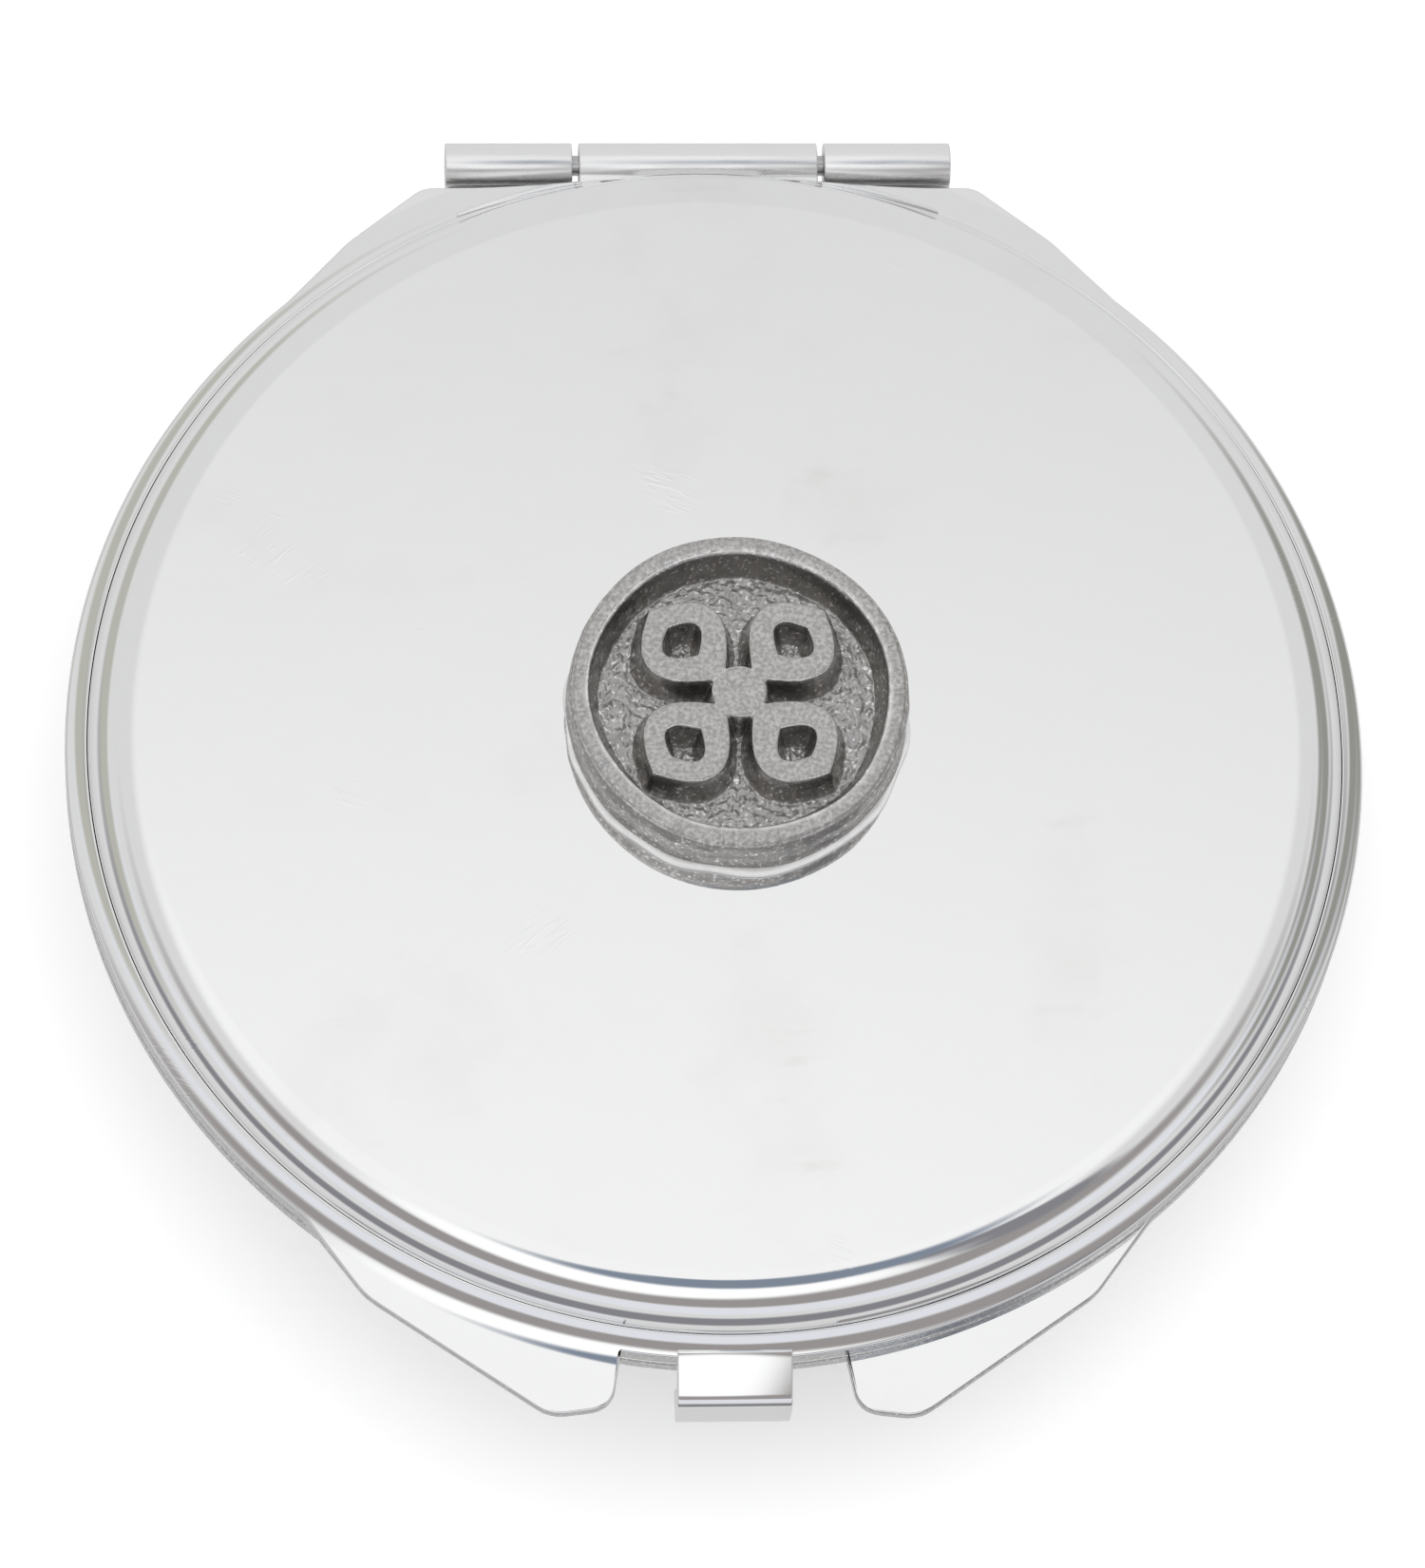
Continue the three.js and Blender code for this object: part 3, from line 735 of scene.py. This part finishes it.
def outside_distance(xy, outline):
    """Distance of each point from a closed outline, below 0 inside it."""
    nearest = np.full(len(xy), 1e9)
    inside = np.zeros(len(xy), bool)
    for i, start in enumerate(outline):
        end = outline[(i + 1) % len(outline)]
        step = end - start
        share = np.clip(((xy - start) @ step) / (step @ step), 0, 1)
        gap = np.linalg.norm(xy - start - share[:, None] * step, axis=1)
        nearest = np.minimum(nearest, gap)
        crosses = (start[1] > xy[:, 1]) != (end[1] > xy[:, 1])
        with np.errstate(divide="ignore", invalid="ignore"):
            edge_x = start[0] + (xy[:, 1] - start[1]) * step[0] / step[1]
        inside ^= crosses & (xy[:, 0] < edge_x)
    return np.where(inside, -nearest, nearest)


def relief_distance(xy):
    """Distance outside the raised rosette: four hollow petals round a boss."""
    distance = np.linalg.norm(xy, axis=1) - 1.05
    body, hollow = leaf(0.9, 4.9, 1.8), leaf(2.2, 3.95, 0.95)
    for i in range(PETALS):
        turn = math.radians(45 + 360 / PETALS * i)
        back = np.array([[math.cos(turn), -math.sin(turn)], [math.sin(turn), math.cos(turn)]])
        local = xy @ back
        solid = np.maximum(outside_distance(local, body), -outside_distance(local, hollow))
        distance = np.minimum(distance, solid)
    return distance


def waver(turns, seed, size, lumps=3.0):
    """Slow uneven variation round the badge."""
    return np.array([noise.noise((lumps * math.cos(t), lumps * math.sin(t), seed)) * size
                     for t in turns])


def roughened(xy, per_mm, seed):
    return np.array([noise.noise((x * per_mm, y * per_mm, seed)) for x, y in xy])


def badge(material):
    columns = 480
    turns = np.linspace(0, 2 * math.pi, columns, endpoint=False)
    ray = np.column_stack([np.cos(turns), np.sin(turns)])
    top = BADGE_HIGH.z - BADGE_LOW.z
    floor = top - BADGE_DEPTH
    outer = BADGE_TOP - 0.05 + waver(turns, 1.7, 0.12, 1.5)
    width = 0.68 + waver(turns, 5.2, 0.14, 1.5) - 0.06 * np.sin(turns)
    inner = outer - width
    foot = inner - 0.5 + waver(turns, 9.4, 0.1, 1.8)

    radii = [foot * share for share in np.linspace(0, 1, 100)[1:]]
    kinds = ["floor"] * len(radii)
    radii += [foot + (inner - foot) * share for share in np.linspace(0, 1, 12)[1:]]
    kinds += ["wall"] * 11
    radii += [inner + (outer - inner) * share for share in np.linspace(0, 1, 13)[1:]]
    kinds += ["rim"] * 12
    xy = np.concatenate([ray * r[:, None] for r in radii])
    kind = np.repeat(kinds, columns)
    radius = np.concatenate(radii)
    rim_in, rim_out, foot_in = (np.tile(value, len(radii)) for value in (inner, outer, foot))

    rise = np.clip((radius - foot_in) / (rim_in - foot_in), 0, 1)
    grain = roughened(xy, 4.2, 3.3) * 0.09 + roughened(xy, 9.0, 6.1) * 0.05
    low = floor + grain + roughened(xy, 0.8, 8.2) * 0.05
    relief = smooth_step(relief_distance(xy), 0.42, -0.02)
    file_marks = np.tile(waver(turns, 41.0, 0.07, 30.0), len(radii)) * (kind == "rim")
    filed_z = top - 0.04 + roughened(xy, 1.5, 2.2) * 0.02 + file_marks
    wall = np.maximum(smooth_step(rise, -0.15, 1.1), 0)
    z = np.where(kind == "floor", low + (filed_z - low) * relief, low + (filed_z - low) * wall)
    edge = np.minimum(np.abs(radius - rim_in), np.abs(rim_out - radius))
    on_rim = kind == "rim"
    z = np.where(on_rim, filed_z - 0.09 * (1 - smooth_step(edge, 0, 0.14)), z)
    flat = np.where(on_rim, 1.0, np.where(kind == "floor", smooth_step(relief, 0.93, 1.0), 0.0))
    uneven = smooth_step(roughened(xy, 2.1, 4.4), -0.25, 0.35)
    lip = np.where(kind == "rim", 1 - smooth_step(radius - rim_in, 0.05, 0.22), 0.0)
    crest = np.where(kind == "floor", smooth_step(relief, 0.7, 0.9)
                     * (1 - smooth_step(relief, 0.985, 1.0)), 0.0)
    worn = np.clip((lip + crest) * (0.55 + 0.45 * uneven), 0, 1)
    relief_slope = smooth_step(relief, 0.03, 0.2) * (1 - smooth_step(relief, 0.8, 0.95))
    wall_slope = np.where(kind == "wall", 1 - smooth_step(rise, 0.8, 1.0), 0.0)
    slope = np.where(kind == "floor", relief_slope, wall_slope)
    # Mask for darkening the cast colour: painted shade on the steep walls of the relief and recess and
    # on the lowest floor, with some real patina there too.
    patina_and_painted_shade = np.clip(slope + 0.15 * (z < floor + 0.05), 0, 1)

    side = []
    bevel = 0.16
    base_radius = BADGE_FOOT - 0.05 + waver(turns, 12.5, 0.1)
    for t in np.radians((30, 60, 90)):
        side.append((outer + bevel * 0.4 * math.sin(t), top - 0.1 - bevel * (1 - math.cos(t))))
    start_r, start_z = side[-1]
    lumps = waver(turns, 21.0, 0.1, 7.0)
    for share in (0.15, 0.3, 0.45, 0.6, 0.75, 0.88):
        step = 0.05 * math.sin(share * math.pi * 2)
        side.append((start_r * (1 - share) + base_radius * share + step + lumps * math.sin(share * 3),
                     start_z * (1 - share) + 0.25 * share))
    for t in np.radians((0, 35, 70)):
        side.append((base_radius - 0.22 * (1 - math.cos(t)), 0.22 * (1 - math.sin(t))))
    side.append((base_radius * 0.6, 0.0))
    side_xy = np.concatenate([ray * np.asarray(r)[:, None] for r, _ in side])
    side_z = np.repeat([z_value for _, z_value in side], columns)

    plan = np.concatenate([xy, side_xy])
    height = np.concatenate([z, side_z])
    points = np.column_stack([plan + (BADGE_CENTRE.x, BADGE_CENTRE.y), height + BADGE_LOW.z]).tolist()
    rows = len(radii) + len(side)
    faces = grid_faces(rows, columns)
    faces = [tuple(reversed(face)) for face in faces]
    centre, under = len(points), len(points) + 1
    middle_z = BADGE_LOW.z + float(np.mean(z[:columns]))
    points.append((BADGE_CENTRE.x, BADGE_CENTRE.y, middle_z))
    points.append((BADGE_CENTRE.x, BADGE_CENTRE.y, BADGE_LOW.z))
    last = (rows - 1) * columns
    for column in range(columns):
        beside = (column + 1) % columns
        faces.append((centre, column, beside))
        faces.append((under, last + beside, last + column))
    piece = make_piece("cast_badge", points, faces, [material], "lid", "badge", sharp=180)
    side_count = len(side_z)
    # The badge's sides take 0.8 of that darkening: painted shade, as if they stood in shadow.
    for label, values, elsewhere in (("filed", flat, 0.25), ("worn", worn, 0.0), ("patina_and_painted_shade", patina_and_painted_shade, 0.8)):
        layer = piece.data.attributes.new(label, "FLOAT", "POINT")
        whole = np.concatenate([values, np.full(side_count, elsewhere), [values[0], 0.0]])
        layer.data.foreach_set("value", whole.astype(np.float32))


def glue_bead(material):
    """Glue under the badge, squeezed out to an uneven bead round its foot."""
    columns = 240
    turns = np.linspace(0, 2 * math.pi, columns, endpoint=False)
    ray = np.column_stack([np.cos(turns), np.sin(turns)])
    floor = CAP_TOP.z + 0.01
    spread = BADGE_FOOT - 0.15 - 0.2 * np.sin(turns) + waver(turns, 31.0, 0.2, 3.0)
    rows = [(spread * 0.6, 0.0), (spread + 0.1, 0.0), (spread + 0.14, 0.07), (spread + 0.1, 0.19),
            (spread - 0.05, 0.3), (spread - 0.35, 0.12), (spread * 0.6, 0.12)]
    points = np.concatenate([np.column_stack([ray * np.asarray(r)[:, None], np.full(columns, z)])
                             for r, z in rows])
    points[:, :2] += (BADGE_CENTRE.x, BADGE_CENTRE.y)
    points[:, 2] += floor
    points = points.tolist()
    faces = grid_faces(len(rows), columns)
    low, high = len(points), len(points) + 1
    points += [(BADGE_CENTRE.x, BADGE_CENTRE.y, floor), (BADGE_CENTRE.x, BADGE_CENTRE.y, floor + 0.12)]
    last = (len(rows) - 1) * columns
    for column in range(columns):
        beside = (column + 1) % columns
        faces.append((low, beside, column))
        faces.append((high, last + column, last + beside))
    make_piece("glue_bead", points, faces, [material], "lid", "badge_adhesive", sharp=180)


# ---- tray -----------------------------------------------------------------------------------
def tray(material):
    radius, bottom, top = TRAY_HIGH.x, TRAY_LOW.z, TRAY_HIGH.z
    round_in = 0.9
    floor, inner = bottom + TRAY_WALL, radius - TRAY_WALL
    profile = [(0, bottom), (radius - 1.3, bottom)]
    profile += arc((radius - 1.2, bottom + 1.2), 1.2, 272, 360, 10)
    profile += arc((radius - 0.25, top - 0.25), 0.25, 0, 90, 5)
    profile += arc((inner + 0.25, top - 0.25), 0.25, 90, 180, 5)
    profile += arc((inner - round_in, floor + round_in), round_in, 360, 272, 12)
    profile += [(inner - round_in - 0.1, floor), (0, floor)]
    shell = lathe(profile, 240)
    half, crown = TRAY_WALL / 2, 0.3
    height = top - 0.4
    section = [(half, floor - 0.2)]
    section += arc((half - crown, height - crown), crown, 0, 90, 6)
    section += arc((crown - half, height - crown), crown, 90, 180, 6)
    section += [(-half, floor - 0.2)]
    parts = [shell]
    for i in range(DIVIDERS):
        points, faces = across(section, 0.0, inner + half, round_off=0.02)
        turn = Matrix.Rotation(math.radians(90 + 360 / DIVIDERS * i), 3, "Z")
        parts.append(([tuple(turn @ Vector(point)) for point in points], faces))
    points, faces = join(*parts)
    make_piece("tray_insert", points, faces, [material], "base", "pill_tray", sharp=30)


# ---- surroundings ---------------------------------------------------------------------------
WHITE = (1.0, 1.0, 1.0, 1.0)
FLOOR_GLOW = 0.18               # keeps the contact shadow pale


def floor():
    mesh = bpy.data.meshes.new("floor")
    reach, level = 3.0, -0.00003
    mesh.from_pydata([(-reach, -reach, level), (reach, -reach, level),
                      (reach, reach, level), (-reach, reach, level)], [], [(0, 1, 2, 3)])
    plane = bpy.data.objects.new("floor", mesh)
    bpy.context.scene.collection.objects.link(plane)
    paper = Finish("pale_paper", Roughness=0.9, Emission_Color=WHITE, Emission_Strength=FLOOR_GLOW)
    paper.link("Base Color", blend_colours(paper.tree, paper.noise(0.02), grey(0.93), grey(0.95)))
    mesh.materials.append(paper.material)
    plane.visible_glossy = False


# Soft patches of tone in an otherwise plain room, listed one by one: what each stands for, azimuth
# anticlockwise from +X, angle from straight up, half width, half height, and screen colour.
PANELS = [
    ("horizon_at_left", 150, 85, 40, 12, (180, 180, 172)),
    ("horizon_at_right", 15, 75, 35, 14, (145, 145, 140)),
    ("dark_side_of_the_room", 270, 50, 95, 12, (150, 146, 145)),
    ("pale_wall_low_in_front", 270, 70, 95, 8, (220, 222, 228)),
    ("dark_corner_at_right", 325, 30, 15, 15, (130, 130, 135)),
    ("dark_table_edge", 270, 98, 110, 10, (130, 130, 135)),
    ("window", 260, 27, 50, 15, (255, 255, 255)),
    ("dark_lamp_above", 300, 10, 75, 10, (125, 135, 150)),
]
PANEL_SOFTNESS = 0.3
MIRRORED_STRENGTH = 1.08
DIFFUSE_STRENGTH = 1.25
OVERHEAD_TONE, BACK_TONE, GROUND_TONE = 242, 214, 205


def panel(tree, azimuth, zenith, centre_azimuth, centre_zenith, half_width, half_height):
    """How much a direction lies in a soft patch, from 0 outside to 1 inside."""
    turn = calc(tree, "WRAP", calc(tree, "SUBTRACT", azimuth, centre_azimuth), 180.0, -180.0)
    across_it = calc(tree, "DIVIDE", turn, half_width)
    up_it = calc(tree, "DIVIDE", calc(tree, "SUBTRACT", zenith, centre_zenith), half_height)
    squares = [calc(tree, "MULTIPLY", offset, offset) for offset in (across_it, up_it)]
    reach = calc(tree, "SQRT", calc(tree, "ADD", *squares))
    return remap(tree, reach, 1 - PANEL_SOFTNESS, 1 + PANEL_SOFTNESS, 1.0, 0.0)


def room():
    """Light for the mirror-like metal from the panels, and plain white light for everything else."""
    world = bpy.data.worlds.new("studio")
    bpy.context.scene.world = world
    world.use_nodes = True
    tree = world.node_tree
    tree.nodes.clear()
    way = add_node(tree, "ShaderNodeTexCoord").outputs["Generated"]
    x, y, z = add_node(tree, "ShaderNodeSeparateXYZ", {0: way}).outputs
    zenith = calc(tree, "DEGREES", calc(tree, "ARCCOSINE", z))
    azimuth = calc(tree, "DEGREES", calc(tree, "ARCTAN2", y, x))
    overhead, back, ground = (from_screen(tone, tone, tone)
                              for tone in (OVERHEAD_TONE, BACK_TONE, GROUND_TONE))
    colour = blend_colours(tree, remap(tree, zenith, 18, 30), overhead, back)
    colour = blend_colours(tree, remap(tree, zenith, 105, 130), colour, ground)
    for _, *place, shade in PANELS:
        colour = blend_colours(tree, panel(tree, azimuth, zenith, *place), colour, from_screen(*shade))
    path = add_node(tree, "ShaderNodeLightPath")
    seen = add_node(tree, "ShaderNodeBackground", {0: WHITE, 1: 1.0})
    lit = add_node(tree, "ShaderNodeBackground", {0: WHITE, 1: DIFFUSE_STRENGTH})
    mirrored = add_node(tree, "ShaderNodeBackground", {0: colour, 1: MIRRORED_STRENGTH})
    diffuse_ray = path.outputs["Is Diffuse Ray"]
    soft_light = add_node(tree, "ShaderNodeMixShader",
                          {0: diffuse_ray, 1: mirrored.outputs[0], 2: lit.outputs[0]})
    shown = add_node(tree, "ShaderNodeMixShader",
                     {0: path.outputs["Is Camera Ray"], 1: soft_light.outputs[0], 2: seen.outputs[0]})
    add_node(tree, "ShaderNodeOutputWorld", {0: shown.outputs[0]})


def camera():
    azimuth, elevation, roll = (math.radians(angle) for angle in (-9.07, 67.06, 8.09))
    distance, target, lens = 320.0, Vector((-0.15, -1.46, PARTING)), 183.5
    back = Vector((math.sin(azimuth) * math.cos(elevation), -math.cos(azimuth) * math.cos(elevation),
                   math.sin(elevation)))
    level = Vector((math.cos(azimuth), math.sin(azimuth), 0))
    above = back.cross(level)
    right = level * math.cos(roll) + above * math.sin(roll)
    up = above * math.cos(roll) - level * math.sin(roll)
    data = bpy.data.cameras.new("camera")
    data.sensor_width = 36
    data.lens = lens
    data.clip_start, data.clip_end = 0.01, 20
    made = bpy.data.objects.new("camera", data)
    bpy.context.scene.collection.objects.link(made)
    turn = Matrix((right, up, back)).transposed().to_4x4()
    made.matrix_world = Matrix.Translation((target + back * distance) * MM) @ turn
    bpy.context.scene.camera = made


# ---- assembly -------------------------------------------------------------------------------
camera()
plate = chrome()
lid_cap(plate)
base_cup(plate)
mirror_and_bezel(mirror_glass(), plate, foam())
frames(plate, cut_edge(), rolled_barrel())
hinge_pin(drawn_wire())
badge(pewter())
glue_bead(glue())
tray(tray_plastic())
floor()
room()
bpy.context.scene.view_settings.view_transform = "Standard"
